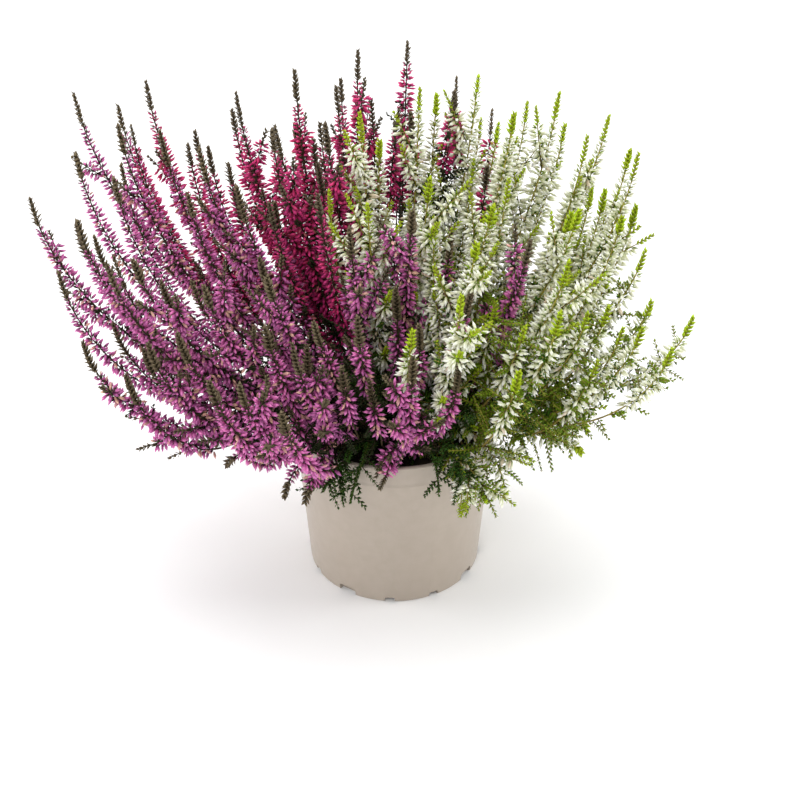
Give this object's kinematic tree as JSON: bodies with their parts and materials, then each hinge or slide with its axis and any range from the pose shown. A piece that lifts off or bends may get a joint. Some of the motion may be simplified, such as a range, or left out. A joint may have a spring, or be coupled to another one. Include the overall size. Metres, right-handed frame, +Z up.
{
  "type": "potted heather",
  "caption": "Heathers with mauve, crimson and creamy white flower spikes growing together in a round plastic pot.",
  "frame": {"origin": "middle of the flat underside of the pot", "axes": "+Z up, +X to the right and -Y to the front, as the plant is seen from its front"},
  "size_m": [0.385, 0.2809, 0.31],
  "materials": {
    "pot": "smooth moulded beige plastic with a soft sheen",
    "soil": "dark crumbly peat compost",
    "mauve_heather": "mauve florets on green stems with dark leafy tips",
    "crimson_heather": "crimson florets on green stems with dark leafy tips",
    "white_heather": "creamy white florets on green stems with lime leafy tips",
    "foliage": "dark green scale leaves"
  },
  "bodies": {
    "root": {"pot": "pot", "soil": "soil", "mauve_spray_01": "mauve_heather", "mauve_spray_02": "mauve_heather", "mauve_spray_03": "mauve_heather", "mauve_spray_04": "mauve_heather", "mauve_spray_05": "mauve_heather", "mauve_spray_06": "mauve_heather", "mauve_spray_07": "mauve_heather", "mauve_spray_08": "mauve_heather", "mauve_spray_09": "mauve_heather", "mauve_spray_10": "mauve_heather", "mauve_spray_11": "mauve_heather", "mauve_spray_12": "mauve_heather", "mauve_spray_13": "mauve_heather", "mauve_spray_14": "mauve_heather", "mauve_spray_15": "mauve_heather", "mauve_spray_16": "mauve_heather", "mauve_spray_17": "mauve_heather", "mauve_spray_18": "mauve_heather", "mauve_spray_19": "mauve_heather", "mauve_spray_20": "mauve_heather", "crimson_spray_01": "crimson_heather", "crimson_spray_02": "crimson_heather", "crimson_spray_03": "crimson_heather", "crimson_spray_04": "crimson_heather", "crimson_spray_05": "crimson_heather", "crimson_spray_06": "crimson_heather", "crimson_spray_07": "crimson_heather", "crimson_spray_08": "crimson_heather", "crimson_spray_09": "crimson_heather", "crimson_spray_10": "crimson_heather", "crimson_spray_11": "crimson_heather", "white_spray_01": "white_heather", "white_spray_02": "white_heather", "white_spray_03": "white_heather", "white_spray_04": "white_heather", "white_spray_05": "white_heather", "white_spray_06": "white_heather", "white_spray_07": "white_heather", "white_spray_08": "white_heather", "white_spray_09": "white_heather", "white_spray_10": "white_heather", "white_spray_11": "white_heather", "white_spray_12": "white_heather", "white_spray_13": "white_heather", "white_spray_14": "white_heather", "white_spray_15": "white_heather", "white_spray_16": "white_heather", "white_spray_17": "white_heather", "white_spray_18": "white_heather", "white_spray_19": "white_heather", "white_spray_20": "white_heather", "white_spray_21": "white_heather", "white_spray_22": "white_heather", "green_shoot_01": "foliage", "green_shoot_02": "foliage", "green_shoot_03": "foliage", "green_shoot_04": "foliage", "green_shoot_05": "foliage"}
  },
  "joints": []
}
